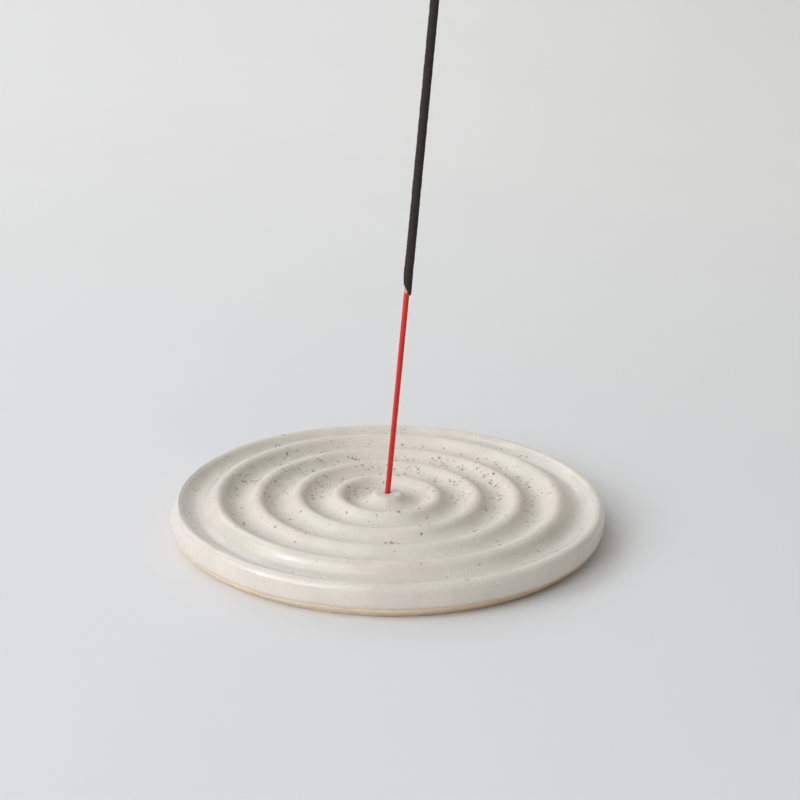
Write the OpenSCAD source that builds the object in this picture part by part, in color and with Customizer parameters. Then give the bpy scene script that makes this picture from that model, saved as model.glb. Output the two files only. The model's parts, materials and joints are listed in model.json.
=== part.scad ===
// Round incense stick holder: a thrown stoneware dish under a speckled glaze, with ring ridges
// round a central boss, and one incense stick that stands in the slanted hole of the boss.
// Millimetres, +Z up. The origin is the middle of the foot, on the surface that the dish
// stands on, and the stick leans towards +X.

/* [Dish] */
// Overall diameter at the glazed wall
dish_d = 120; // [100:1:160]
// Height of the rings' crests above the table
crest_height = 9.2; // [8:0.1:14]
// Number of rings between the boss and the rim
ring_count = 4; // [2:1:5]
// Radius of the innermost ring's crest
first_ring_r = 13.65; // [12:0.05:18]
// From the outermost ring's crest out to the rim's crest
outer_groove_w = 10.95; // [9:0.05:12]
// How far the outermost ring stands above the other crests
outer_ring_rise = 0.6; // [0:0.1:1]
// Depth of the grooves below the crests
groove_depth = 2.75; // [1.5:0.05:3.2]
// Rounding of the rings' and the rim's crests
crest_round = 2.4; // [1.2:0.1:3]

/* [Rim and wall] */
// From the wall in to the rim's crest
rim_inset = 1.8; // [1:0.05:3]
// How far the rim's crest lies below the rings' crests
rim_drop = 0.25; // [0:0.05:1]
// Height of the straight glazed wall above the bare band
straight_wall_h = 4.1; // [0.5:0.1:5]

/* [Boss] */
// Radius of the boss's flat top
boss_flat_r = 3.3; // [2:0.1:4]
// How far the boss's top lies below the crests
boss_drop = 0.05; // [0:0.05:0.8]
// Rounding of the boss's shoulder
boss_shoulder_r = 1.2; // [0.8:0.1:1.8]
// Radius of the low point between the boss and the first ring
boss_skirt_r = 8.4; // [7:0.1:9.5]

/* [Foot] */
// From the wall in to the foot's outer edge
foot_inset = 2.9; // [1.5:0.1:5]
// Height of the trimmed bevel above the table
foot_bevel_h = 2.2; // [1.5:0.1:4]
// Rounding between the bevel and the wall
bevel_round = 1.2; // [0.4:0.1:2]
// Width of the flat ring that the dish stands on
foot_ring_w = 8; // [4:0.5:20]
// Depth of the trimmed recess inside the foot ring
foot_recess = 0.8; // [0.3:0.1:1.2]

/* [Glaze] */
// Thickness of the fired glaze
glaze_t = 0.4; // [0.2:0.05:0.6]
// Bare clay wall between the bevel's rounding and the glaze's lower edge
bare_band_h = 0.1; // [0.1:0.1:1.5]

/* [Stick hole] */
// Depth of the hole along its own axis
bore_depth = 6.5; // [4:0.1:7]
// Radial clearance round the stick's core
bore_clearance = 0.1; // [0.05:0.01:0.3]
// Lean of the hole and the stick, in degrees
stick_lean = 4.3; // [0:0.1:8]

/* [Stick] */
// Diameter of the bamboo core
core_d = 1.4; // [1:0.05:2]
// Gap between the core's foot and the bottom of the hole
foot_gap = 0.1; // [0.05:0.01:0.3]
// Bare core that shows above the boss
bare_length = 56.5; // [30:0.5:90]
// Length of the incense paste, from its lower tip to the top
paste_length = 167; // [80:0.5:220]
// Thickness of the paste on the core
paste_t = 0.5; // [0.3:0.05:1.5]
// Height over which the paste's lower end is cut at a slant
paste_taper = 5; // [2:0.5:10]
// Paste over the core's upper end
paste_cap = 1; // [0.5:0.1:3]
// Rounding of the paste's upper end
paste_tip_round = 0.6; // [0.3:0.05:0.75]

/* [Hidden] */
$fn = 180;
// Steps in each arc of a turned profile
arc_steps = 6;
// How far a cut runs past the solid that it opens
overrun = 1;

clay_color = [0.78, 0.67, 0.53];
glaze_color = [0.87, 0.84, 0.79];
dye_color = [0.78, 0.16, 0.15];
paste_color = [0.17, 0.14, 0.13];

wall_r = dish_d / 2;
rim_crest_r = wall_r - rim_inset;
ring_pitch = (rim_crest_r - outer_groove_w - first_ring_r) / (ring_count - 1);
boss_top = crest_height - boss_drop;
groove_floor = crest_height - groove_depth;
seat_r = wall_r - glaze_t;
foot_r = wall_r - foot_inset;
recess_r = foot_r - foot_ring_w;
bevel_slant = atan((seat_r - foot_r) / foot_bevel_h);
bevel_back = bevel_round * tan(bevel_slant / 2);
glaze_line = foot_bevel_h + bevel_back + bare_band_h;
straight_wall_top = glaze_line + straight_wall_h;
rim_crest_h = crest_height - rim_drop;
rim_round_h = rim_crest_h - straight_wall_top;

core_r = core_d / 2;
bore_r = core_r + bore_clearance;
paste_r = core_r + paste_t;
core_foot = foot_gap - bore_depth;
paste_top = bare_length + paste_length;
core_top = paste_top - paste_cap;

// Crests from the boss to the rim: radius, height and rounding of each
crests = concat(
    [[boss_flat_r, boss_top, boss_shoulder_r]],
    [for (k = [0:ring_count - 1]) [
        first_ring_r + k * ring_pitch,
        crest_height + (k == ring_count - 1 ? outer_ring_rise : 0),
        crest_round
    ]],
    [[rim_crest_r, rim_crest_h, crest_round]]
);

// Radius of the low point of the groove outside crest k
function low_r(k) = k == 0 ? boss_skirt_r : (crests[k][0] + crests[k + 1][0]) / 2;

// An elliptical arc round a centre, turning from +Z towards the outside, without its last point
function arc(centre, rx, rz, from, to) = [
    for (i = [0:arc_steps - 1])
        let (a = from + (to - from) * i / arc_steps)
        centre + [rx * sin(a), rz * cos(a)]
];

// Half the turn of a slope whose crest arc and groove arc meet on one tangent
function slope_angle(run, drop) = 2 * atan(drop / run);

// Radius of the groove arc that meets a crest arc over a given run and drop
function groove_round(run, drop, round) = run / sin(slope_angle(run, drop)) - round;

// Slope from a crest down to a low point, seen outwards (side 1) or inwards (side -1),
// with the surface moved down by t
function slope_points(crest, low, side, t) =
    let (
        run = abs(low - crest[0]),
        drop = crest[1] - groove_floor,
        turn = side * slope_angle(run, drop),
        groove_r = groove_round(run, drop, crest[2]),
        crest_centre = [crest[0], crest[1] - crest[2]],
        groove_centre = [low, groove_floor + groove_r],
        crest_side = crest[2] - t,
        groove_side = groove_r + t
    )
    side > 0
        ? concat(
            arc(crest_centre, crest_side, crest_side, 0, turn),
            arc(groove_centre, groove_side, groove_side, 180 + turn, 180))
        : concat(
            arc(groove_centre, groove_side, groove_side, 180, 180 + turn),
            arc(crest_centre, crest_side, crest_side, turn, 0));

// The dish's upper surface from the axis to the straight wall, moved inwards by t
function top_points(t) = concat(
    [[0, boss_top - t]],
    [for (k = [0:ring_count], p = concat(
        slope_points(crests[k], low_r(k), 1, t),
        slope_points(crests[k + 1], low_r(k), -1, t))) p],
    arc([rim_crest_r, straight_wall_top], rim_inset - t, rim_round_h - t, 0, 90),
    [[wall_r - t, straight_wall_top]]
);

// The trimmed bevel of the clay with its rounded upper corner, and the foot, back to the axis
foot_points = concat(
    arc([seat_r - bevel_round, foot_bevel_h + bevel_back], bevel_round, bevel_round,
        90, 90 + bevel_slant),
    [[seat_r - bevel_back * sin(bevel_slant), foot_bevel_h - bevel_back * cos(bevel_slant)]],
    [[foot_r, 0], [recess_r, 0], [recess_r - foot_recess, foot_recess], [0, foot_recess]]
);

function reversed(points) = [for (i = [len(points) - 1:-1:0]) points[i]];

// Places its children on the stick's axis, with the middle of the boss's top at their zero
module on_stick_axis() {
    translate([0, 0, boss_top]) rotate([0, stick_lean, 0]) children();
}

// The slanted hole for the stick, which runs through the glaze into the clay
module stick_hole() {
    on_stick_axis() translate([0, 0, -bore_depth])
        cylinder(r = bore_r, h = bore_depth + overrun);
}

// Thrown and trimmed clay disc, bare on the foot and on a narrow band of the wall
module stoneware_body() {
    color(clay_color)
    difference() {
        rotate_extrude() polygon(concat(top_points(glaze_t), foot_points));
        stick_hole();
    }
}

// Glaze over the rings, the rim and the wall, down to the bare band
module glaze_coat() {
    color(glaze_color)
    difference() {
        rotate_extrude() polygon(concat(
            top_points(0),
            [[wall_r, glaze_line], [seat_r, glaze_line]],
            reversed(top_points(glaze_t))));
        stick_hole();
    }
}

// Dyed bamboo core, from the bottom of the hole up through the paste
module bamboo_core() {
    color(dye_color)
    on_stick_axis() translate([0, 0, core_foot])
        cylinder(r = core_r, h = core_top - core_foot);
}

// The slant at the paste's lower end, deepest on the side that the stick leans away from
module slant_cut() {
    reach = paste_r + overrun;
    // The slant ends within the paste's wall, clear of the core's edge
    heel_x = core_r + paste_t / 4;
    rotate([90, 0, 0])
        linear_extrude(height = 2 * reach, center = true)
        polygon([
            [-paste_r, bare_length + paste_taper],
            [heel_x, bare_length],
            [heel_x, bare_length - overrun],
            [-reach, bare_length - overrun],
            [-reach, bare_length + paste_taper]
        ]);
}

// Incense paste rolled on the core, with a rounded upper end
module incense_paste() {
    color(paste_color)
    on_stick_axis() difference() {
        rotate_extrude() polygon(concat(
            [[core_r, core_top], [core_r, bare_length], [paste_r, bare_length],
                [paste_r, paste_top - paste_tip_round]],
            reversed(arc([paste_r - paste_tip_round, paste_top - paste_tip_round],
                paste_tip_round, paste_tip_round, 0, 90)),
            [[0, paste_top], [0, core_top]]));
        slant_cut();
    }
}

stoneware_body();
glaze_coat();
bamboo_core();
incense_paste();
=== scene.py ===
"""Round stoneware incense stick holder with its stick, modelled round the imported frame.

The dish is turned from two outlines, one for the clay and one for the glaze on it. The stick is
a split bamboo core with incense paste rolled on it. Lengths are metres, and angles are radians
where nothing else is said.
"""
import json
import math
import random

import bpy
import numpy
from bpy.props import FloatProperty, FloatVectorProperty, IntProperty, PointerProperty
from mathutils import Matrix, Vector


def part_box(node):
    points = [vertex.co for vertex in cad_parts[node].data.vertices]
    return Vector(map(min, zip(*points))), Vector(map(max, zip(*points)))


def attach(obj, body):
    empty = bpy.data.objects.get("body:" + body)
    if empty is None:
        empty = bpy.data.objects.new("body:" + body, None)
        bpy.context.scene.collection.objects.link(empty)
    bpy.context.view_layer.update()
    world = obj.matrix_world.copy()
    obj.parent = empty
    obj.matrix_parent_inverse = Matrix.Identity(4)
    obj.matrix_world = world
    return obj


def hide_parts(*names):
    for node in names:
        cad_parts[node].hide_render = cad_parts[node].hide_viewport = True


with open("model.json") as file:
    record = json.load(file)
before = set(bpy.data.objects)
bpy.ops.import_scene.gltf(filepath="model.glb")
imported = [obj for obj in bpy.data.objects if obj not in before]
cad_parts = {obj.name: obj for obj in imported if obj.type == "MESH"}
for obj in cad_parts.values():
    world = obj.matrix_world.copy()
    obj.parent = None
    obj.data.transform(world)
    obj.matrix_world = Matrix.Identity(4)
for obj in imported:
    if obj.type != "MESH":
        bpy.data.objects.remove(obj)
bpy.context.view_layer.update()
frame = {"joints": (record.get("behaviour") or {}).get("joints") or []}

bl_info = {
    "name": "Incense stick holder",
    "version": (1, 0, 0),
    "blender": (4, 5, 0),
    "location": "View3D > Sidebar > Holder",
    "description": "Models a ridged stoneware incense stick holder with its stick",
    "category": "Object",
}

MM = 0.001

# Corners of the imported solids, and the line that the stick slides along
clay_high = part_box("stoneware_body")[1]
glaze_low, glaze_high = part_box("glaze_coat")
core_low, core_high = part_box("bamboo_core")
paste_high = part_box("incense_paste")[1]
slide_line = Vector(frame["joints"][0]["axis"])
stick_lean = math.atan2(slide_line.x, slide_line.z)


def length(name, description, default):
    """A length that a user can change, in metres."""
    return FloatProperty(
        name=name, description=description, default=default, unit="LENGTH", precision=5)


def angle(name, description, degrees):
    """An angle that a user can change, with its default in degrees."""
    return FloatProperty(
        name=name, description=description, default=math.radians(degrees), unit="ROTATION")


def power(name, description, watts):
    """The power of a lamp, which a user can change."""
    return FloatProperty(
        name=name, description=description, default=watts, min=0.0, unit="POWER")


def colour(name, description, default):
    """A colour that a user can change, in linear light."""
    return FloatVectorProperty(
        name=name, description=description, default=default, subtype="COLOR", size=3,
        min=0.0, max=1.0)


class HolderDish(bpy.types.PropertyGroup):
    """Sizes of the thrown dish and of the glaze on it"""

    wall_r: length("Wall radius", "From the axis to the glazed wall", glaze_high.x)
    crest_h: length("Crest height", "Height of the rings' crests above the table", 9.2 * MM)
    ring_count: IntProperty(
        name="Rings", description="Number of rings between the boss and the rim",
        default=4, min=2, max=6)
    first_ring_r: length("First ring", "Radius of the innermost ring's crest", 13.65 * MM)
    groove_depth: length("Groove depth", "Depth of the grooves below the crests", 2.75 * MM)
    crest_round: length("Crest rounding", "Rounding of the rings' crests", 2.4 * MM)
    outer_groove_w: length(
        "Outer groove", "From the outermost ring's crest to the rim's crest", 10.95 * MM)
    rim_inset: length("Rim inset", "From the wall in to the rim's crest", 1.8 * MM)
    rim_drop: length("Rim drop", "How far the rim's crest lies below the rings'", 0.25 * MM)
    rim_dent: length("Rim dent", "How far the rim is pressed in at its flattest", 1.7 * MM)
    rim_dent_at: angle("Dent's place", "Where the rim is flattest, from +X towards +Y", 174)
    straight_wall_h: length("Straight wall", "Height of the wall's straight part", 4.1 * MM)
    boss_flat_r: length("Boss top", "Radius of the boss's flat top", 3.3 * MM)
    boss_drop: length("Boss drop", "From the crests down to the boss's top", 0.05 * MM)
    boss_shoulder_r: length("Boss shoulder", "Rounding of the boss's shoulder", 1.2 * MM)
    boss_skirt_r: length("Boss skirt", "Radius of the low point round the boss", 8.4 * MM)
    foot_inset: length("Foot inset", "From the wall in to the foot's outer edge", 2.9 * MM)
    foot_bevel_h: length("Bevel height", "Height of the trimmed bevel", 2.2 * MM)
    bevel_round: length("Bevel corner", "Rounding between the bevel and the wall", 1.2 * MM)
    foot_ring_w: length("Foot ring", "Width of the ring that the dish stands on", 8.0 * MM)
    foot_recess: length("Recess", "Depth of the trimmed recess in the foot", 0.8 * MM)
    glaze_t: length("Glaze", "Thickness of the fired glaze", glaze_high.x - clay_high.x)
    hole_r: length("Hole radius", "Radius of the slanted hole", 0.8 * MM)
    hole_depth: length("Hole depth", "Depth of the hole along its own axis", 6.5 * MM)
    wobble: length("Wobble", "How far the thrower's hand strays from a true circle", 0.12 * MM)
    boss_lump: length("Boss lumps", "How uneven the boss is", 0.07 * MM)


class HolderStick(bpy.types.PropertyGroup):
    """Sizes of the incense stick"""

    core_w: length("Core width", "Across the flats of the split bamboo", 1.3 * MM)
    core_edge_r: length("Core edges", "Rounding of the bamboo's four long edges", 0.4 * MM)
    core_turn: angle("Core turn", "Turn of the bamboo's flats about its own axis", -30)
    bare_length: length("Bare core", "From the boss's top up to the paste", 56.5 * MM)
    paste_r: length("Paste radius", "Radius of the rolled paste", 1.2 * MM)
    paste_cap: length("Paste cap", "Paste over the core's upper end", 1.0 * MM)


class HolderColours(bpy.types.PropertyGroup):
    """Colours of the clay, the glaze and the stick"""

    glaze_crest: colour("Glaze on crests", "Creamy glaze where it lies thin", (0.727, 0.677, 0.606))
    glaze_groove: colour("Glaze in grooves", "Greyer glaze where it pools", (0.675, 0.643, 0.578))
    glaze_break: colour("Glaze break", "Tan clay that shows through thin glaze", (0.66, 0.54, 0.38))
    speck_dark: colour("Dark specks", "Iron specks with a full body", (0.10, 0.08, 0.025))
    speck_olive: colour("Olive specks", "Iron specks that melted into the glaze", (0.27, 0.205, 0.065))
    speck_halo: colour("Speck halos", "Rust that bled into the glaze", (0.46, 0.375, 0.18))
    clay: colour("Clay", "Fired bare stoneware", (0.80, 0.66, 0.475))
    # Painted shade: the clay's colour on its +X side, away from the lamps on the left
    clay_toasted: colour("Painted shade on the clay", "Clay painted darker on the side away from the lamps", (0.56, 0.41, 0.27))
    dye: colour("Dye", "Red dye on the bamboo", (0.68, 0.03, 0.024))
    bamboo: colour("Bamboo", "Bamboo that the dye didn't reach", (0.56, 0.40, 0.22))
    paste: colour("Paste", "Incense paste", (0.027, 0.019, 0.019))
    paste_grit: colour("Paste grit", "Wood powder in the paste", (0.095, 0.072, 0.062))
    floor: colour("Floor", "Pale floor", (0.735, 0.740, 0.754))
    floor_lit: colour("Floor under the lamps", "Greyer, so that it doesn't clip", (0.40, 0.40, 0.41))
    backdrop_left: colour("Backdrop, left", "Where the floor bends up", (0.865, 0.865, 0.86))
    backdrop_right: colour("Backdrop, right", "Where the floor bends up", (0.965, 0.965, 0.96))


class HolderStage(bpy.types.PropertyGroup):
    """Light and camera"""

    key_power: power("Key", "Power of the large soft light high on the left", 10.6)
    low_power: power("Low light", "Power of the broad low light on the left", 4.6)
    pane_power: power("Panes", "Power of each small pane that the glaze mirrors", 2.0)
    back_power: power("Back light", "Power of the soft light behind the dish", 3.65)
    ambient: FloatProperty(
        name="Ambient", description="Strength of the light from all round",
        default=0.383, min=0.0, max=2.0)
    camera_distance: length("Camera distance", "From the dish's axis to the camera", 350.2 * MM)
    camera_height: length("Camera height", "From the table to the camera", 149.2 * MM)
    camera_side: length("Camera side", "How far the camera stands to the right", 3.0 * MM)
    camera_pitch: angle("Camera pitch", "How far the camera looks down", 17.87)
    camera_roll: angle("Camera roll", "Turn of the camera about its own line of sight", 1.0)


# Outlines of the dish

def arc(centre, across, up, start, end, steps):
    """Points of an elliptical arc, turning from straight up to the outside, without the last."""
    points = []
    for step in range(steps):
        turn = start + (end - start) * step / steps
        points.append((centre[0] + across * math.sin(turn), centre[1] + up * math.cos(turn)))
    return points


def boss_top(dish):
    """Height of the boss's top."""
    return dish.crest_h - dish.boss_drop


def crests(dish):
    """Radius, height and rounding of each crest, from the boss to the rim."""
    rim_crest_r = dish.wall_r - dish.rim_inset
    last_ring_r = rim_crest_r - dish.outer_groove_w
    pitch = (last_ring_r - dish.first_ring_r) / (dish.ring_count - 1)
    found = [(dish.boss_flat_r, boss_top(dish), dish.boss_shoulder_r)]
    for ring in range(dish.ring_count):
        outermost = ring == dish.ring_count - 1
        height = glaze_high.z if outermost else dish.crest_h
        found.append((dish.first_ring_r + ring * pitch, height, dish.crest_round))
    found.append((rim_crest_r, dish.crest_h - dish.rim_drop, dish.crest_round))
    return found


def slope(dish, crest, low_r, inwards, sunk, steps):
    """A crest's arc and a groove's arc that meet on one tangent, moved into the clay by sunk."""
    crest_r, crest_h, crest_round = crest
    floor_h = dish.crest_h - dish.groove_depth
    run = abs(low_r - crest_r)
    turn = 2 * math.atan((crest_h - floor_h) / run)
    groove_round = run / math.sin(turn) - crest_round
    if inwards:
        turn = -turn
    crest_centre = (crest_r, crest_h - crest_round)
    groove_centre = (low_r, floor_h + groove_round)
    over = crest_round - sunk
    under = groove_round + sunk
    half = math.pi
    if inwards:
        return (arc(groove_centre, under, under, half, half + turn, steps)
                + arc(crest_centre, over, over, turn, 0, steps))
    return (arc(crest_centre, over, over, 0, turn, steps)
            + arc(groove_centre, under, under, half + turn, half, steps))


def ringed_top(dish, sunk, steps):
    """Outline of the upper surface from the boss's edge to the straight wall."""
    tops = crests(dish)
    points = []
    for groove in range(len(tops) - 1):
        inner, outer = tops[groove], tops[groove + 1]
        low_r = dish.boss_skirt_r if groove == 0 else (inner[0] + outer[0]) / 2
        points += slope(dish, inner, low_r, False, sunk, steps)
        points += slope(dish, outer, low_r, True, sunk, steps)
    wall_top = glaze_low.z + dish.straight_wall_h
    rim_centre = (dish.wall_r - dish.rim_inset, wall_top)
    rim_round_h = dish.crest_h - dish.rim_drop - wall_top
    points += arc(
        rim_centre, dish.rim_inset - sunk, rim_round_h - sunk, 0, math.pi / 2, 2 * steps)
    return points + [(dish.wall_r - sunk, wall_top)]


def evenly(start, end, steps):
    """Points from start towards end, without the first."""
    return [
        (start[0] + (end[0] - start[0]) * step / steps,
         start[1] + (end[1] - start[1]) * step / steps)
        for step in range(1, steps + 1)]


# Steps of each arc: on the glaze's face, and where the glaze lies on the clay
FACE_STEPS = 8
SEAT_STEPS = 5
# Steps of a full turn, and how close vertices are when they are joined
TURN_STEPS = 288
JOIN_WITHIN = 0.002 * MM


def glaze_outline(dish):
    """Closed outline of the glaze, from the hole over the rings and down to its lower edge."""
    lip = dish.glaze_t / 2
    top = boss_top(dish)
    edge_h = glaze_low.z
    taper_h = 0.8 * MM
    edge_r = 0.2 * dish.glaze_t
    points = [(dish.hole_r, top - dish.glaze_t)]
    points += arc((dish.hole_r + lip, top - lip), lip, lip, -math.pi / 2, 0, steps=5)
    points += ringed_top(dish, 0.0, FACE_STEPS)
    points += evenly(points[-1], (dish.wall_r, edge_h + taper_h), steps=3)
    seat_r = dish.wall_r - dish.glaze_t
    points += evenly(points[-1], (seat_r + edge_r, edge_h + edge_r), steps=5)[:-1]
    points += arc(
        (seat_r, edge_h + edge_r), edge_r, edge_r, math.pi / 2, math.pi, steps=4)
    points += [(seat_r, edge_h)]
    points += reversed(ringed_top(dish, dish.glaze_t, SEAT_STEPS))
    return points + [points[0]]


def clay_outline(dish):
    """Outline of the clay, from the bottom of the hole over the top and the foot to the axis."""
    seat_r = dish.wall_r - dish.glaze_t
    foot_r = dish.wall_r - dish.foot_inset
    recess_r = foot_r - dish.foot_ring_w
    points = [(0.0, hole_floor(dish)), (dish.hole_r, hole_floor(dish))]
    points += [(dish.hole_r, boss_top(dish) - dish.glaze_t)]
    points += ringed_top(dish, dish.glaze_t, SEAT_STEPS)
    points += [(seat_r, glaze_low.z)]
    slant = math.atan2(seat_r - foot_r, dish.foot_bevel_h)
    corner = dish.bevel_round
    back = corner * math.tan(slant / 2)
    points += arc((seat_r - corner, dish.foot_bevel_h + back), corner, corner,
                  math.pi / 2, math.pi / 2 + slant, steps=5)
    bevel_top = (seat_r - back * math.sin(slant), dish.foot_bevel_h - back * math.cos(slant))
    points += [bevel_top] + evenly(bevel_top, (foot_r, 0.0), steps=5)
    edge = 0.3 * MM
    points += evenly((foot_r, 0.0), (recess_r + edge, 0.0), steps=6)
    points += arc((recess_r + edge, edge), edge, edge, math.pi, 1.3 * math.pi, steps=4)
    points += trimmed_recess(recess_r - edge, dish.foot_recess)
    return points


def hole_floor(dish):
    """Height of the bottom of the slanted hole."""
    return boss_top(dish) - dish.hole_depth * math.cos(stick_lean)


def trimmed_recess(start_r, depth):
    """Outline of the recess under the foot, with the shallow rings of the trimming tool."""
    tool_step = 3.1 * MM
    ridge = 0.06 * MM
    corner = 0.5 * MM
    steps = 90
    points = []
    for step in range(steps):
        radius = start_r * (1 - step / steps)
        wave = abs(math.sin(math.pi * radius / tool_step))
        reach = min(1.0, (start_r - radius) / corner)
        points.append((radius, (depth - ridge * wave) * reach))
    return points + [(0.0, depth)]


# Modelling steps

def start_mesh(name, add, **settings):
    """Adds a mesh by one of the adding operators, selected alone, named and in edit mode."""
    bpy.ops.object.select_all(action="DESELECT")
    add(enter_editmode=True, **settings)
    made = bpy.context.object
    made.name = name
    return made


def extrude(move):
    """Extrudes what is selected and moves it."""
    bpy.ops.mesh.extrude_region_move(TRANSFORM_OT_translate={"value": move})


def face_outwards():
    """Turns all faces of the mesh in edit mode outwards, and leaves edit mode."""
    bpy.ops.mesh.select_all(action="SELECT")
    bpy.ops.mesh.normals_make_consistent(inside=False)
    bpy.ops.object.mode_set(mode="OBJECT")


def modify(piece, kind, **settings):
    """Adds a modifier with its settings and applies it."""
    bpy.ops.object.modifier_add(type=kind)
    modifier = piece.modifiers[-1]
    for key, value in settings.items():
        setattr(modifier, key, value)
    bpy.ops.object.modifier_apply(modifier=modifier.name)


def turn_on_wheel(name, outline):
    """Turns an outline of (radius, height) points a full circle about the Z axis."""
    piece = start_mesh(name, bpy.ops.mesh.primitive_plane_add, size=MM)
    bpy.ops.mesh.merge(type="CENTER")
    before = Vector((outline[0][0], 0.0, outline[0][1]))
    bpy.ops.transform.translate(value=before)
    for radius, height in outline[1:]:
        point = Vector((radius, 0.0, height))
        extrude(point - before)
        before = point
    bpy.ops.object.mode_set(mode="OBJECT")
    modify(piece, "SCREW", axis="Z", angle=2 * math.pi, steps=TURN_STEPS, render_steps=TURN_STEPS)
    bpy.ops.object.mode_set(mode="EDIT")
    bpy.ops.mesh.select_all(action="SELECT")
    bpy.ops.mesh.remove_doubles(threshold=JOIN_WITHIN)
    face_outwards()
    return piece


def places(piece):
    """The places of all vertices of the piece, a row of X, Y and Z for each."""
    found = numpy.empty(3 * len(piece.data.vertices))
    piece.data.vertices.foreach_get("co", found)
    return found.reshape(-1, 3)


def radii(at):
    """Distances from the Z axis."""
    return numpy.hypot(at[:, 0], at[:, 1])


def select_where(piece, test):
    """Selects the vertices whose places pass the test, and leaves the piece in edit mode."""
    bpy.ops.object.mode_set(mode="EDIT")
    bpy.ops.mesh.select_mode(type="VERT")
    bpy.ops.mesh.select_all(action="DESELECT")
    bpy.ops.object.mode_set(mode="OBJECT")
    piece.data.vertices.foreach_set("select", test(places(piece)))
    bpy.ops.object.mode_set(mode="EDIT")


def lean_hole(piece, dish):
    """Moves each ring of the upright hole sideways, so that the hole follows the stick."""
    inside_r = 1.5 * dish.hole_r
    top = boss_top(dish)
    bottom = hole_floor(dish) - dish.glaze_t
    at = places(piece)
    in_hole = at[(radii(at) < inside_r) & (at[:, 2] > bottom)]
    same = 0.001 * MM
    for level in numpy.unique(numpy.round(in_hole[:, 2], decimals=6)):
        select_where(piece, lambda at: (
            (radii(at) < inside_r) & (abs(at[:, 2] - level) < same)))
        bpy.ops.transform.translate(value=((level - top) * math.tan(stick_lean), 0.0, 0.0))
        bpy.ops.object.mode_set(mode="OBJECT")


def weigh(piece, name, weights):
    """Gives the piece a vertex group with a weight for each vertex."""
    group = piece.vertex_groups.new(name=name)
    for index, weight in enumerate(weights.tolist()):
        group.add([index], weight, "REPLACE")
    return name


def ease(value, low, high):
    """A smooth step from 0 at low to 1 at high."""
    share = numpy.clip((value - low) / (high - low), 0.0, 1.0)
    return share * share * (3 - 2 * share)


def push(piece, strength, direction, group, texture=None, mid_level=0.0):
    """Displaces the piece's weighted vertices along a direction, and applies it."""
    modify(piece, "DISPLACE", texture=texture, texture_coords="LOCAL", direction=direction,
           mid_level=mid_level, strength=strength, vertex_group=group)


def push_by_clouds(piece, size, strength, direction, group="", detail=1):
    """Displaces the piece by a cloud pattern of that size, and applies it."""
    clouds = bpy.data.textures.new("clouds", "CLOUDS")
    clouds.noise_scale = size
    clouds.noise_depth = detail
    clouds.cloud_type = "COLOR" if direction == "RGB_TO_XYZ" else "GRAYSCALE"
    push(piece, strength, direction, group, clouds, 0.5)
    bpy.data.textures.remove(clouds)


# How far a cloud pattern strays either way, as a share of its strength
CLOUD_REACH = 0.25


def stray_by_hand(piece, dish):
    """Takes the dish a little off its true circles, but not at the hole or on the table."""
    at = places(piece)
    near, far = 2 * dish.boss_flat_r, 3 * dish.boss_flat_r
    thrown = ease(radii(at), near, far) * ease(at[:, 2], 0.25 * MM, dish.foot_bevel_h)
    push_by_clouds(piece, 0.6 * dish.wall_r, dish.wobble / CLOUD_REACH, "RGB_TO_XYZ",
                   weigh(piece, "thrown", thrown))
    # The rim was pressed in a little on one side
    rim = ease(radii(at), dish.wall_r - dish.rim_inset - MM, dish.wall_r - dish.glaze_t)
    rim *= ease(at[:, 2], glaze_low.z + MM, dish.crest_h - MM)
    out_x, out_y = math.cos(dish.rim_dent_at), math.sin(dish.rim_dent_at)
    facing = (at[:, 0] * out_x + at[:, 1] * out_y) / radii(at).clip(MM)
    dent_reach = math.radians(34)
    rim *= ease(facing, math.cos(dent_reach), 1.0)
    dent = weigh(piece, "rim", rim)
    push(piece, -dish.rim_dent * out_x, "X", dent)
    push(piece, -dish.rim_dent * out_y, "Y", dent)
    # The boss was pinched up by hand round the hole, which itself stays true
    boss = ease(radii(at), 1.5 * dish.hole_r, dish.boss_flat_r) * ease(radii(at), far, near)
    boss *= at[:, 2] > dish.crest_h - dish.groove_depth - dish.glaze_t
    push_by_clouds(
        piece, 3 * MM, dish.boss_lump / CLOUD_REACH, "Z", weigh(piece, "boss", boss))


def throw(name, outline, dish):
    """Turns a piece of the dish, slants its hole and takes it off its true circles."""
    piece = turn_on_wheel(name, outline)
    lean_hole(piece, dish)
    stray_by_hand(piece, dish)
    return piece


def dress(piece, material, body, node, sharp_angle):
    """Shades a finished piece, gives it its material and hands it to the frame."""
    bpy.ops.object.shade_smooth_by_angle(angle=sharp_angle)
    piece.vertex_groups.clear()
    piece.data.materials.clear()
    piece.data.materials.append(material)
    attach(piece, body)
    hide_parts(node)


# The stick

def stand_on_stick_line(piece, dish):
    """Leans an upright stick piece over the hole and applies its place to its mesh."""
    piece.rotation_euler = (0.0, stick_lean, 0.0)
    piece.location = (0.0, 0.0, boss_top(dish))
    bpy.ops.object.transform_apply(location=True, rotation=True, scale=True)


def along_stick(height, radius, dish):
    """Distance along the stick's axis of its lowest or highest corner's height."""
    rise = height - boss_top(dish) + radius * math.sin(stick_lean)
    return rise / math.cos(stick_lean)


def widen(share, height):
    """Scales what is selected by a share about the Z axis, at its height."""
    bpy.ops.transform.resize(value=(share, share, 1.0), center_override=(0.0, 0.0, height))


# How unevenly the bamboo was split and the paste rolled, as a share of their width
UNEVEN = 0.02


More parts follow.
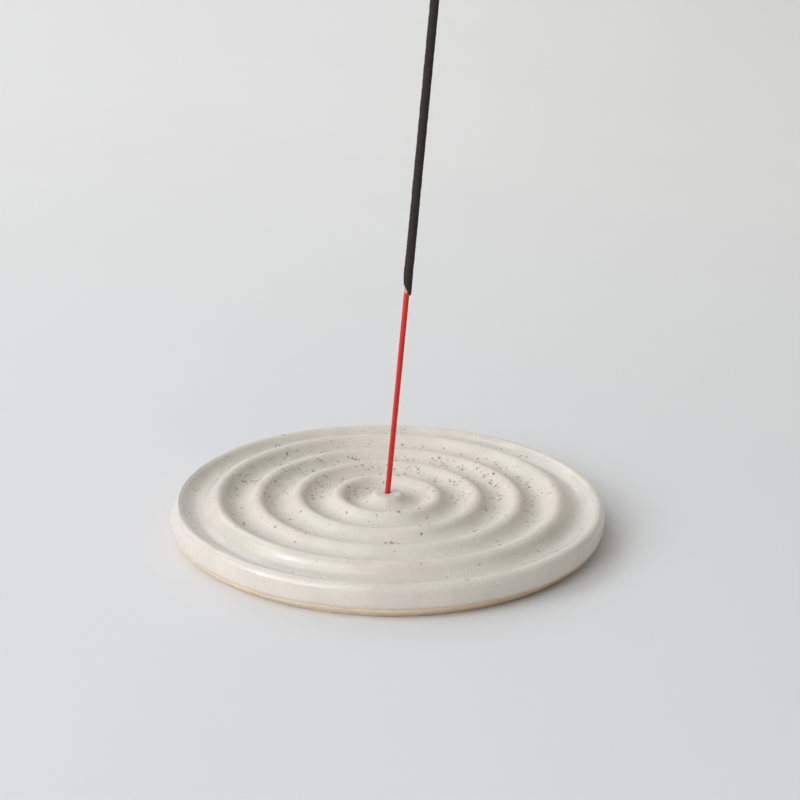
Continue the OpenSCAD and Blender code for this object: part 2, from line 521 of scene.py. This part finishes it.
def draw_core(stick, dish):
    """Draws the split bamboo upwards from its rounded square section, slightly uneven."""
    foot = along_stick(core_low.z, stick.core_w / 2, dish)
    top = along_stick(core_high.z, -stick.core_w / 2, dish)
    piece = start_mesh(
        "split_bamboo_core", bpy.ops.mesh.primitive_plane_add, size=stick.core_w)
    bpy.ops.mesh.bevel(offset=stick.core_edge_r, segments=5, affect="VERTICES")
    bpy.ops.transform.rotate(
        value=stick.core_turn, orient_axis="Z", center_override=(0.0, 0.0, 0.0))
    bpy.ops.transform.translate(value=(0.0, 0.0, foot))
    chamfer = 0.12 * MM
    chamfer_share = 0.86
    widen(chamfer_share, foot)
    extrude((0.0, 0.0, chamfer))
    widen(1 / chamfer_share, foot + chamfer)
    stations = 58
    rise = (top - foot - 2 * chamfer) / stations
    chance = random.Random(3)
    before = 1.0
    for station in range(1, stations + 1):
        extrude((0.0, 0.0, rise))
        now = 1.0 + chance.uniform(-UNEVEN, UNEVEN)
        widen(now / before, foot + chamfer + station * rise)
        before = now
    extrude((0.0, 0.0, chamfer))
    widen(chamfer_share, top)
    face_outwards()
    return piece


# Lower end of the paste: on its left and right, reach as a share of the paste's radius, and
# height above its lowest point as a share of that radius
PASTE_END_SHARES = [
    ((-0.52, 2.30), (0.52, 0.40)),
    ((-0.66, 2.20), (0.72, 0.04)),
    ((-0.82, 2.50), (0.92, 0.04)),
    ((-0.93, 3.05), (1.01, 0.40)),
    ((-1.02, 3.80), (1.03, 1.05)),
    ((-1.08, 4.80), (1.02, 2.00)),
    ((-1.08, 6.00), (1.01, 3.50)),
    ((-1.04, 7.50), (1.00, 5.60)),
    ((-1.00, 9.20), (1.00, 8.00)),
]
# Upper end: reach, and height below its highest point, as shares of the paste's radius
PASTE_TOP_SHARES = [(0.98, 0.60), (0.88, 0.25), (0.62, 0.05), (0.30, 0.0)]


def level_ring(left, right, height):
    """Left and right end of a level ring, from its reach on either side."""
    return (-left, height), (right, height)


def paste_rings(stick, foot, top, core_top):
    """Left and right end of each ring of the paste's skin, as (x, height) pairs."""
    radius = stick.paste_r
    # The skin starts inside, on the core, and comes out under the slanted end
    bore_r = 0.46 * stick.core_w
    bore_end = foot + 4 * radius
    rings = [level_ring(bore_r, bore_r, core_top), level_ring(bore_r, bore_r, bore_end)]
    for left, right in PASTE_END_SHARES:
        rings.append(((left[0] * radius, foot + left[1] * radius),
                      (right[0] * radius, foot + right[1] * radius)))
    start = foot + 11 * radius
    end = top - 1.5 * radius
    stations = 76
    # The roller leaves the paste a little thinner towards the middle of the stick
    waist = 0.05
    chance = random.Random(11)
    for station in range(stations + 1):
        slim = 1.0 - waist * math.sin(math.pi * station / stations)
        left = slim * (1 + chance.uniform(-UNEVEN, UNEVEN))
        right = slim * (1 + chance.uniform(-UNEVEN, UNEVEN))
        height = start + (end - start) * station / stations
        rings.append(level_ring(left * radius, right * radius, height))
    for reach, drop in PASTE_TOP_SHARES:
        rings.append(level_ring(reach * radius, reach * radius, top - drop * radius))
    return rings


def ring_place(ring):
    """Centre, half length, tilt about Y and reach along X of a ring between its two ends."""
    (left_x, left_h), (right_x, right_h) = ring
    centre = Vector(((left_x + right_x) / 2, 0.0, (left_h + right_h) / 2))
    half = math.hypot(right_x - left_x, right_h - left_h) / 2
    tilt = math.atan2(left_h - right_h, right_x - left_x)
    return centre, half, tilt, (right_x - left_x) / 2


def roll_paste(stick, dish):
    """Lofts the paste's skin from ring to ring, with its slanted lower end, and roughens it."""
    foot = stick.bare_length
    top = along_stick(paste_high.z, -stick.paste_r / 2, dish)
    core_top = top - stick.paste_cap
    rings = [ring_place(ring) for ring in paste_rings(stick, foot, top, core_top)]
    sides = 12
    # A subdivided ring shrinks, so that it starts this much wider
    swell = 3 / (2 + math.cos(2 * math.pi / sides))
    centre, half, tilt, reach = rings[0]
    piece = start_mesh(
        "rolled_incense_paste", bpy.ops.mesh.primitive_circle_add,
        vertices=sides, radius=swell * half, location=(0.0, 0.0, 0.0))
    bpy.ops.transform.translate(value=centre)
    bpy.ops.mesh.edge_face_add()
    for next_centre, next_half, next_tilt, next_reach in rings[1:]:
        bpy.ops.mesh.extrude_region()
        bpy.ops.transform.rotate(value=tilt, orient_axis="Y", center_override=centre)
        bpy.ops.transform.resize(
            value=(next_half / half, next_reach / reach, 1.0), center_override=centre)
        bpy.ops.transform.rotate(value=-next_tilt, orient_axis="Y", center_override=centre)
        bpy.ops.transform.translate(value=next_centre - centre)
        centre, half, tilt, reach = next_centre, next_half, next_tilt, next_reach
    face_outwards()
    modify(piece, "SUBSURF", levels=3, render_levels=3)
    push_by_clouds(piece, 1.6 * MM, 0.16 * MM, "NORMAL", detail=2)
    push_by_clouds(piece, 0.4 * MM, 0.07 * MM, "NORMAL")
    return piece


# Materials

def feed(tree, node, inputs):
    """Feeds each named input of a node with a value or with another node's socket."""
    for key, value in inputs.items():
        if isinstance(value, bpy.types.NodeSocket):
            tree.links.new(value, node.inputs[key])
        else:
            node.inputs[key].default_value = value


def place(tree, kind, inputs, **settings):
    """Adds a node with its settings, feeds its inputs and returns its outputs."""
    made = tree.nodes.new(kind)
    for key, value in settings.items():
        setattr(made, key, value)
    feed(tree, made, inputs)
    return made.outputs


def calc(tree, operation, first, second=0.0, third=0.0):
    """A Math node's result."""
    inputs = {0: first, 1: second, 2: third}
    return place(tree, "ShaderNodeMath", inputs, operation=operation)[0]


def vector_calc(tree, operation, first, second):
    """A Vector Math node's resulting vector."""
    return place(tree, "ShaderNodeVectorMath", {0: first, 1: second}, operation=operation)[0]


def parts_of(tree, vector):
    """The X, Y and Z of a vector."""
    return place(tree, "ShaderNodeSeparateXYZ", {0: vector})


def off_axis(tree, spot):
    """Distance of a place from the Z axis."""
    flat = vector_calc(tree, "MULTIPLY", spot, (1.0, 1.0, 0.0))
    return place(tree, "ShaderNodeVectorMath", {0: flat}, operation="LENGTH")["Value"]


def remap(tree, value, low, high, to_low=0.0, to_high=1.0):
    """A value moved smoothly from one range to another, and held at its ends."""
    inputs = {"Value": value, "From Min": low, "From Max": high,
              "To Min": to_low, "To Max": to_high}
    return place(tree, "ShaderNodeMapRange", inputs, interpolation_type="SMOOTHSTEP")["Result"]


def sway(tree, value, pattern, reach):
    """A value moved either way by a pattern that is about 0.5 on average."""
    return calc(tree, "MULTIPLY_ADD", calc(tree, "SUBTRACT", pattern, 0.5), reach, value)


def mix(tree, share, first, second, blend="MIX"):
    """A colour mixed from two others."""
    first, second = (
        c if isinstance(c, bpy.types.NodeSocket) else (*c, 1.0) for c in (first, second))
    inputs = {0: share, 6: first, 7: second}
    return place(tree, "ShaderNodeMix", inputs, data_type="RGBA", blend_type=blend)[2]


def shade(tree, base, value, low, high, darkest, lightest):
    """A colour made darker where a value is low and lighter where it is high."""
    gain = remap(tree, value, low, high, darkest, lightest)
    grey = place(tree, "ShaderNodeCombineColor", {0: gain, 1: gain, 2: gain})[0]
    return mix(tree, 1.0, base, grey, "MULTIPLY")


def noise(tree, vector, scale, detail=2.0):
    """The outputs of a noise with that many waves in a metre, about 0.5 on average."""
    inputs = {"Vector": vector, "Scale": scale, "Detail": detail}
    return place(tree, "ShaderNodeTexNoise", inputs)


def bump(tree, height, depth, normal=None):
    """A normal bent by a height from 0 to 1, whose full step is depth in metres."""
    inputs = {"Height": height, "Distance": depth}
    if normal is not None:
        inputs["Normal"] = normal
    return place(tree, "ShaderNodeBump", inputs)["Normal"]


def new_group(name, defaults, results):
    """A node group with a Vector and the named values as inputs, and its two end nodes."""
    tree = bpy.data.node_groups.new(name, "ShaderNodeTree")
    tree.interface.new_socket("Vector", in_out="INPUT", socket_type="NodeSocketVector")
    for key, default in defaults.items():
        socket = tree.interface.new_socket(key, in_out="INPUT", socket_type="NodeSocketFloat")
        socket.default_value = default
    for key in results:
        tree.interface.new_socket(key, in_out="OUTPUT", socket_type="NodeSocketFloat")
    given = tree.nodes.new("NodeGroupInput").outputs
    return tree, given, tree.nodes.new("NodeGroupOutput")


def use_group(tree, build, **inputs):
    """Places the node group that a function of its name builds once, and returns its outputs."""
    group = bpy.data.node_groups.get(build.__name__) or build()
    return place(tree, "ShaderNodeGroup", inputs, node_tree=group)


def iron_specks():
    """Specks of iron in clay or glaze: a mask, a halo round it, and each speck's own tone."""
    defaults = {"Spacing": 1.5 * MM, "Radius": 0.25 * MM, "Share": 0.5}
    tree, given, result = new_group("iron_specks", defaults, ["Mask", "Halo", "Tone"])
    per_cell = calc(tree, "DIVIDE", 1.0, given["Spacing"])
    per_rag = calc(tree, "DIVIDE", 1.3, given["Radius"])
    ragged = noise(tree, given["Vector"], per_rag, detail=1.0)["Color"]
    centred = vector_calc(tree, "SUBTRACT", ragged, (0.5, 0.5, 0.5))
    spread = calc(tree, "MULTIPLY", given["Radius"], 1.6)
    shifted = place(tree, "ShaderNodeVectorMath", {0: centred, 3: spread}, operation="SCALE")[0]
    cells = place(tree, "ShaderNodeTexVoronoi", {
        "Vector": vector_calc(tree, "ADD", given["Vector"], shifted),
        "Scale": per_cell, "Randomness": 1.0})
    dice = place(tree, "ShaderNodeSeparateColor", {"Color": cells["Color"]})
    # Small specks are commoner than large ones
    size = calc(tree, "MULTIPLY_ADD", calc(tree, "POWER", dice[0], 2.0), 0.5, 0.5)
    radius = calc(tree, "MULTIPLY", calc(tree, "MULTIPLY", given["Radius"], per_cell), size)
    core = calc(tree, "MULTIPLY", radius, 0.55)
    reach = calc(tree, "MULTIPLY", radius, 1.7)
    inside = remap(tree, cells["Distance"], core, radius, 1.0, 0.0)
    rusty = remap(tree, cells["Distance"], core, reach, 1.0, 0.0)
    kept = calc(tree, "LESS_THAN", dice[1], given["Share"])
    feed(tree, result, {
        "Mask": calc(tree, "MULTIPLY", inside, kept),
        "Halo": calc(tree, "MULTIPLY", rusty, kept),
        "Tone": dice[2]})
    return tree


def mottle():
    """Soft cloudiness and fine grain together, about 0.5 on average."""
    defaults = {"Clouds": 8 * MM, "Grains": 0.5 * MM, "Graininess": 0.4}
    tree, given, result = new_group("mottle", defaults, ["Value"])
    per_cloud = calc(tree, "DIVIDE", 1.0, given["Clouds"])
    per_grain = calc(tree, "DIVIDE", 1.0, given["Grains"])
    clouds = noise(tree, given["Vector"], per_cloud, detail=3.0)["Fac"]
    grain = noise(tree, given["Vector"], per_grain)["Fac"]
    both = place(tree, "ShaderNodeMix", {
        0: given["Graininess"], 2: clouds, 3: grain}, data_type="FLOAT")[0]
    feed(tree, result, {"Value": both})
    return tree


def wheel_rings():
    """Fine rings that a thrower's fingers and tools leave round the Z axis, from 0 to 1."""
    tree, given, result = new_group("wheel_rings", {"Width": 1.2 * MM}, ["Height"])
    # The radius and the height vary the rings quickly, and the way round them only slowly
    slow = parts_of(tree, vector_calc(tree, "MULTIPLY", given["Vector"], (0.04, 0.04, 0.0)))
    across = calc(tree, "ADD", off_axis(tree, given["Vector"]), slow["X"])
    upwards = calc(tree, "ADD", parts_of(tree, given["Vector"])["Z"], slow["Y"])
    spot = place(tree, "ShaderNodeCombineXYZ", {"X": across, "Y": upwards})[0]
    per_ring = calc(tree, "DIVIDE", 1.0, given["Width"])
    feed(tree, result, {"Height": noise(tree, spot, per_ring)["Fac"]})
    return tree


def long_grain():
    """Streaks along the Z axis, as of fibre or of rolling, about 0.5 on average."""
    defaults = {"Width": 0.12 * MM, "Stretch": 0.02}
    tree, given, result = new_group("long_grain", defaults, ["Value"])
    stretched = place(tree, "ShaderNodeCombineXYZ", {
        "X": 1.0, "Y": 1.0, "Z": given["Stretch"]})[0]
    drawn = vector_calc(tree, "MULTIPLY", given["Vector"], stretched)
    per_streak = calc(tree, "DIVIDE", 1.0, given["Width"])
    feed(tree, result, {"Value": noise(tree, drawn, per_streak, detail=3.0)["Fac"]})
    return tree


def new_material(name):
    """A node material, its tree, its shader and its Object coordinates."""
    material = bpy.data.materials.new(name)
    material.use_nodes = True
    tree = material.node_tree
    spot = place(tree, "ShaderNodeTexCoord", {})["Object"]
    return material, tree, tree.nodes["Principled BSDF"], spot


def speckle(tree, spot, base, colours, spacing, radius, share, ink_gain, halo_gain=None):
    """A colour with a layer of iron specks over it, and rust round each if halo_gain is given."""
    found = use_group(
        tree, iron_specks, Vector=spot, Spacing=spacing, Radius=radius, Share=share)
    if halo_gain is not None:
        rust = calc(tree, "MULTIPLY", found["Halo"], halo_gain)
        base = mix(tree, rust, base, colours.speck_halo)
    ink = mix(tree, found["Tone"], colours.speck_dark, colours.speck_olive)
    return mix(tree, calc(tree, "MULTIPLY", found["Mask"], ink_gain), base, ink)


def glaze_material(dish, colours):
    """Satin oatmeal glaze: creamy on crests, greyer in grooves, with iron specks in clusters."""
    material, tree, shader, spot = new_material("speckled_glaze")
    parts = parts_of(tree, spot)
    radius = off_axis(tree, spot)
    wall_r = dish.wall_r
    on_top = remap(tree, radius, wall_r - dish.rim_inset, wall_r - 2 * dish.rim_inset)

    pooled = remap(tree, parts["Z"], dish.crest_h, dish.crest_h - dish.groove_depth)
    pooled = calc(tree, "MULTIPLY", pooled, on_top)
    base = mix(tree, pooled, colours.glaze_crest, colours.glaze_groove)
    cloudy = use_group(
        tree, mottle, Vector=spot, Clouds=7 * MM, Grains=0.5 * MM, Graininess=0.45)[0]
    base = shade(tree, base, cloudy, 0.3, 0.7, 0.93, 1.05)
    # The glaze thins out towards its lower edge, so that the clay shows through
    edge_h = sway(tree, parts["Z"], cloudy, MM)
    thin = remap(tree, edge_h, glaze_low.z + 0.8 * MM, glaze_low.z - 0.2 * MM)
    base = mix(tree, thin, base, colours.glaze_break)

    # Specks gather in the grooves and on the slopes outside them, in clusters, and are rarer on
    # the crests, at the front, round the plane X = 0 and near the rim
    pitch = crests(dish)[2][0] - dish.first_ring_r
    phase = calc(tree, "MULTIPLY_ADD", radius, 1 / pitch, -dish.first_ring_r / pitch)
    phase = calc(tree, "FRACT", phase)
    on_crests = remap(tree, radius, 15 * MM, 40 * MM, 0.4, 0.06)
    clusters = noise(tree, spot, 1 / (6 * MM))["Fac"]
    sideways = calc(tree, "ABSOLUTE", parts["X"])
    share = 1.0
    for value, low, high, at_low, at_high in (
            (phase, 0.25, 0.45, on_crests, 1.0),
            (phase, 0.74, 0.93, 1.0, on_crests),
            (clusters, 0.42, 0.62, 0.08, 1.0),
            (parts["Y"], -0.15 * wall_r, 0.2 * wall_r, 0.45, 1.0),
            (sideways, 0.05 * wall_r, 0.4 * wall_r, 0.6, 1.2),
            (radius, 0.66 * wall_r, 0.82 * wall_r, 1.0, 0.1)):
        share = calc(tree, "MULTIPLY", share, remap(tree, value, low, high, at_low, at_high))
    share = calc(tree, "MULTIPLY", share, on_top)
    halo_gain = 0.35
    for spacing, speck_r, thinned, anywhere, ink_gain in (
            (0.7, 0.22, 0.8, 0.02, 0.4),
            (1.0, 0.48, 0.8, 0.008, 0.75),
            (1.7, 0.66, 0.6, 0.01, 0.8)):
        kept = calc(tree, "MULTIPLY_ADD", share, thinned, anywhere)
        base = speckle(tree, spot, base, colours, spacing * MM, speck_r * MM, kept,
                       ink_gain, halo_gain)

    # Matt up to the outermost ring, and glossy in the groove and on the rim outside it
    matt_r, glossy_r = 46 * MM, 48.5 * MM
    satin = remap(tree, radius, matt_r, glossy_r, 0.60, 0.17)
    uneven = use_group(
        tree, mottle, Vector=spot, Clouds=5 * MM, Grains=0.3 * MM, Graininess=0.3)[0]
    rings = use_group(tree, wheel_rings, Vector=spot, Width=1.4 * MM)[0]
    feed(tree, shader, {
        "Base Color": base,
        "Roughness": sway(tree, satin, uneven, 0.25),
        "Normal": bump(tree, uneven, 0.015 * MM, bump(tree, rings, 0.012 * MM))})
    return material


def clay_material(dish, colours):
    """Bare stoneware: buff, with painted shade on the side away from the lamps, with iron specks and
    tool rings.
    """
    material, tree, shader, spot = new_material("bare_stoneware")
    cloudy = use_group(
        tree, mottle, Vector=spot, Clouds=4 * MM, Grains=0.35 * MM, Graininess=0.5)[0]
    # Painted shade: the clay is painted darker towards +X, the side away from the lamps on the left
    ragged = sway(tree, parts_of(tree, spot)["X"], cloudy, 30 * MM)
    shaded_side = remap(tree, ragged, -0.1 * dish.wall_r, 0.7 * dish.wall_r)
    base = mix(tree, shaded_side, colours.clay, colours.clay_toasted)
    base = shade(tree, base, cloudy, 0.25, 0.75, 0.82, 1.12)
    ink_gain = 0.7
    for spacing, speck_r, share in ((0.9, 0.16, 0.4), (2.2, 0.34, 0.5)):
        base = speckle(tree, spot, base, colours, spacing * MM, speck_r * MM, share, ink_gain)
    rings = use_group(tree, wheel_rings, Vector=spot, Width=0.7 * MM)[0]
    feed(tree, shader, {
        "Base Color": base,
        "Roughness": remap(tree, cloudy, 0.2, 0.8, 0.74, 0.92),
        "Normal": bump(tree, cloudy, 0.09 * MM, bump(tree, rings, 0.05 * MM))})
    return material


def stick_spot(tree, spot, dish):
    """Object coordinates turned so that Z runs up the stick from the boss's top."""
    return place(tree, "ShaderNodeMapping", {
        "Vector": spot, "Location": (0.0, 0.0, boss_top(dish)),
        "Rotation": (0.0, stick_lean, 0.0)}, vector_type="TEXTURE")["Vector"]


def bamboo_material(stick, dish, colours):
    """Bamboo split lengthwise, dyed red up to the paste, with paler fibres."""
    material, tree, shader, spot = new_material("dyed_bamboo")
    drawn = stick_spot(tree, spot, dish)
    fine = use_group(tree, long_grain, Vector=drawn, Width=0.10 * MM, Stretch=0.03)[0]
    broad = use_group(tree, long_grain, Vector=drawn, Width=0.45 * MM, Stretch=0.012)[0]
    fibres = calc(tree, "MULTIPLY_ADD", broad, 0.5, calc(tree, "MULTIPLY", fine, 0.5))
    dyed, bare = (
        shade(tree, tone, fibres, 0.32, 0.68, 0.74, 1.18)
        for tone in (colours.dye, colours.bamboo))
    # The dye crept unevenly a little way up under the paste
    creep = sway(tree, parts_of(tree, drawn)["Z"], fine, 2.5 * MM)
    dye_edge = stick.bare_length + 0.9 * MM
    undyed = remap(tree, creep, dye_edge - 0.3 * MM, dye_edge + 0.3 * MM)
    feed(tree, shader, {
        "Base Color": mix(tree, undyed, dyed, bare),
        "Roughness": remap(tree, fibres, 0.3, 0.7, 0.62, 0.42),
        "Normal": bump(tree, fibres, 0.04 * MM),
        "Specular IOR Level": 0.3})
    return material


def paste_material(dish, colours):
    """Dry charcoal paste with wood powder in it and faint marks of rolling."""
    material, tree, shader, spot = new_material("incense_paste")
    drawn = stick_spot(tree, spot, dish)
    rolled = use_group(tree, long_grain, Vector=drawn, Width=0.3 * MM, Stretch=0.15)[0]
    gritty = use_group(
        tree, mottle, Vector=drawn, Clouds=1.2 * MM, Grains=0.14 * MM, Graininess=0.65)[0]
    powder = calc(tree, "MULTIPLY", remap(tree, gritty, 0.50, 0.68), 0.5)
    base = mix(tree, powder, colours.paste, colours.paste_grit)
    feed(tree, shader, {
        "Base Color": shade(tree, base, rolled, 0.3, 0.7, 0.8, 1.15),
        "Roughness": remap(tree, gritty, 0.3, 0.7, 0.86, 0.98),
        "Normal": bump(tree, gritty, 0.10 * MM, bump(tree, rolled, 0.03 * MM))})
    return material


def floor_material(colours):
    """Plain pale matt floor, very faintly uneven."""
    material, tree, shader, spot = new_material("pale_floor")
    cloudy = use_group(
        tree, mottle, Vector=spot, Clouds=0.25, Grains=0.02, Graininess=0.15)[0]
    # The sheet is a little greyer in front of the dish and whiter where it bends up
    parts = parts_of(tree, spot)
    away = remap(tree, calc(tree, "ADD", parts["Y"], parts["Z"]), -0.35, 0.8)
    backdrop = mix(tree, remap(tree, parts["X"], -0.5, 0.5),
                   colours.backdrop_left, colours.backdrop_right)
    base = mix(tree, away, colours.floor, backdrop)
    # Far out on the left, right under the lamps, it is greyer still, so that it doesn't clip
    under_lamps = remap(tree, parts["Y"], 0.3, -0.1)
    for edge, full in ((-0.3, -0.8), (-1.9, -1.3)):
        under_lamps = calc(tree, "MULTIPLY", under_lamps, remap(tree, parts["X"], edge, full))
    base = mix(tree, under_lamps, base, colours.floor_lit)
    feed(tree, shader, {
        "Base Color": shade(tree, base, cloudy, 0.3, 0.7, 0.99, 1.01),
        "Roughness": 0.9,
        "Specular IOR Level": 0.2})
    return material


# Stage

LAMP_COLOUR = (0.942, 0.947, 1.0)
SKY_COLOUR = (0.99, 0.99, 0.92, 1.0)


def sweep_floor(colours):
    """A floor that bends up into a backdrop well behind the dish."""
    depth = 3.0
    behind = 1.6
    floor = start_mesh(
        "pale_sweep", bpy.ops.mesh.primitive_plane_add,
        size=2 * depth, location=(0.0, behind - depth, 0.0))
    bpy.ops.object.mode_set(mode="OBJECT")
    bpy.ops.object.transform_apply(location=True, rotation=True, scale=True)
    select_where(floor, lambda at: at[:, 1] > behind - MM)
    extrude((0.0, 0.0, depth))
    select_where(floor, lambda at: (at[:, 1] > behind - MM) & (at[:, 2] < MM))
    bpy.ops.mesh.bevel(offset=0.9, segments=32, affect="EDGES")
    bpy.ops.object.mode_set(mode="OBJECT")
    bpy.ops.object.shade_smooth()
    floor.data.materials.append(floor_material(colours))


def soft_lamp(name, azimuth, elevation, distance, width, height, watts):
    """A rectangular lamp that looks at the dish; its azimuth from +X and elevation in degrees."""
    turn, rise = math.radians(azimuth), math.radians(elevation)
    level = distance * math.cos(rise)
    place_at = (level * math.cos(turn), level * math.sin(turn), distance * math.sin(rise))
    aim = (-Vector(place_at)).to_track_quat("-Z", "Y").to_euler()
    bpy.ops.object.light_add(type="AREA", location=place_at, rotation=aim)
    lamp = bpy.context.object
    lamp.name = name
    lamp.data.shape = "RECTANGLE"
    lamp.data.size = width
    lamp.data.size_y = height
    lamp.data.energy = watts
    lamp.data.color = LAMP_COLOUR


def light_scene(stage):
    """A key light and a low light on the left, two panes, a back light and even light."""
    for lamp in (
            ("key", 212, 46, 1.5, 1.7, 1.0, stage.key_power),
            ("low_light", 213, 24, 1.5, 1.0, 0.6, stage.low_power),
            ("pane_left", 207, 24, 1.4, 0.22, 0.45, stage.pane_power),
            ("pane_front", 234, 20, 1.4, 0.28, 0.40, stage.pane_power),
            ("back_light", 118, 40, 1.6, 1.0, 0.8, stage.back_power)):
        soft_lamp(*lamp)
    world = bpy.data.worlds.new("even_light")
    bpy.context.scene.world = world
    world.use_nodes = True
    sky = world.node_tree.nodes["Background"]
    sky.inputs["Color"].default_value = SKY_COLOUR
    sky.inputs["Strength"].default_value = stage.ambient


def set_camera(stage):
    """The camera at the viewing angle of the photograph."""
    bpy.ops.object.camera_add()
    camera = bpy.context.object
    place_at = Matrix.Translation(
        (stage.camera_side, -stage.camera_distance, stage.camera_height))
    pitch = Matrix.Rotation(math.pi / 2 - stage.camera_pitch, 4, "X")
    roll = Matrix.Rotation(stage.camera_roll, 4, "Z")
    camera.matrix_world = place_at @ pitch @ roll
    camera.data.sensor_width = 36.0
    camera.data.lens = 60.75
    camera.data.clip_start = 0.01
    bpy.context.scene.camera = camera


# Operators

class HOLDER_OT_clay_body(bpy.types.Operator):
    """Turn the clay body with its foot, its recess and the slanted hole"""

    bl_idname = "holder.clay_body"
    bl_label = "Clay body"

    def execute(self, context):
        dish = context.scene.holder_dish
        piece = throw("thrown_clay_body", clay_outline(dish), dish)
        material = clay_material(dish, context.scene.holder_colours)
        dress(piece, material, "dish", "stoneware_body", math.radians(38))
        return {"FINISHED"}


class HOLDER_OT_glaze_coat(bpy.types.Operator):
    """Turn the glaze that lies on the rings, the rim and the wall"""

    bl_idname = "holder.glaze_coat"
    bl_label = "Glaze coat"

    def execute(self, context):
        dish = context.scene.holder_dish
        piece = throw("speckled_glaze_coat", glaze_outline(dish), dish)
        at = places(piece)
        low = ease(at[:, 2], glaze_low.z + 2 * dish.straight_wall_h, glaze_low.z)
        low *= ease(radii(at), dish.wall_r - 2 * MM, dish.wall_r - MM)
        edge = weigh(piece, "lower_edge", low)
        push_by_clouds(piece, 9 * MM, 0.5 * MM, "Z", edge, detail=2)
        material = glaze_material(dish, context.scene.holder_colours)
        dress(piece, material, "dish", "glaze_coat", math.radians(50))
        return {"FINISHED"}


class HOLDER_OT_bamboo_core(bpy.types.Operator):
    """Draw the dyed bamboo core of the stick"""

    bl_idname = "holder.bamboo_core"
    bl_label = "Bamboo core"

    def execute(self, context):
        dish, stick = context.scene.holder_dish, context.scene.holder_stick
        piece = draw_core(stick, dish)
        stand_on_stick_line(piece, dish)
        material = bamboo_material(stick, dish, context.scene.holder_colours)
        dress(piece, material, "stick", "bamboo_core", math.radians(35))
        return {"FINISHED"}


class HOLDER_OT_incense_paste(bpy.types.Operator):
    """Roll the incense paste on the core"""

    bl_idname = "holder.incense_paste"
    bl_label = "Incense paste"

    def execute(self, context):
        dish, stick = context.scene.holder_dish, context.scene.holder_stick
        piece = roll_paste(stick, dish)
        stand_on_stick_line(piece, dish)
        material = paste_material(dish, context.scene.holder_colours)
        dress(piece, material, "stick", "incense_paste", math.radians(70))
        return {"FINISHED"}


class HOLDER_OT_stage(bpy.types.Operator):
    """Set the floor, the lamps and the camera"""

    bl_idname = "holder.stage"
    bl_label = "Stage"

    def execute(self, context):
        scene = context.scene
        sweep_floor(scene.holder_colours)
        light_scene(scene.holder_stage)
        set_camera(scene.holder_stage)
        scene.view_settings.view_transform = "Standard"
        return {"FINISHED"}


class HOLDER_PT_sidebar(bpy.types.Panel):
    """The holder's sizes, colours and operators"""

    bl_idname = "HOLDER_PT_sidebar"
    bl_label = "Incense stick holder"
    bl_space_type = "VIEW_3D"
    bl_region_type = "UI"
    bl_category = "Holder"

    def draw(self, context):
        layout = self.layout
        for operator in OPERATORS:
            layout.operator(operator.bl_idname)
        for name in SETTINGS:
            settings = getattr(context.scene, name)
            box = layout.box()
            for field in settings.__annotations__:
                box.prop(settings, field)


OPERATORS = (
    HOLDER_OT_clay_body,
    HOLDER_OT_glaze_coat,
    HOLDER_OT_bamboo_core,
    HOLDER_OT_incense_paste,
    HOLDER_OT_stage,
)
SETTINGS = {
    "holder_dish": HolderDish,
    "holder_stick": HolderStick,
    "holder_colours": HolderColours,
    "holder_stage": HolderStage,
}


def register():
    for group in SETTINGS.values():
        bpy.utils.register_class(group)
    for name, group in SETTINGS.items():
        setattr(bpy.types.Scene, name, PointerProperty(type=group))
    for operator in OPERATORS:
        bpy.utils.register_class(operator)
    bpy.utils.register_class(HOLDER_PT_sidebar)


def unregister():
    bpy.utils.unregister_class(HOLDER_PT_sidebar)
    for operator in reversed(OPERATORS):
        bpy.utils.unregister_class(operator)
    for name, group in SETTINGS.items():
        delattr(bpy.types.Scene, name)
        bpy.utils.unregister_class(group)


def main():
    """Makes every piece and the stage."""
    register()
    bpy.ops.holder.clay_body()
    bpy.ops.holder.glaze_coat()
    bpy.ops.holder.bamboo_core()
    bpy.ops.holder.incense_paste()
    bpy.ops.holder.stage()


if __name__ == "__main__":
    main()
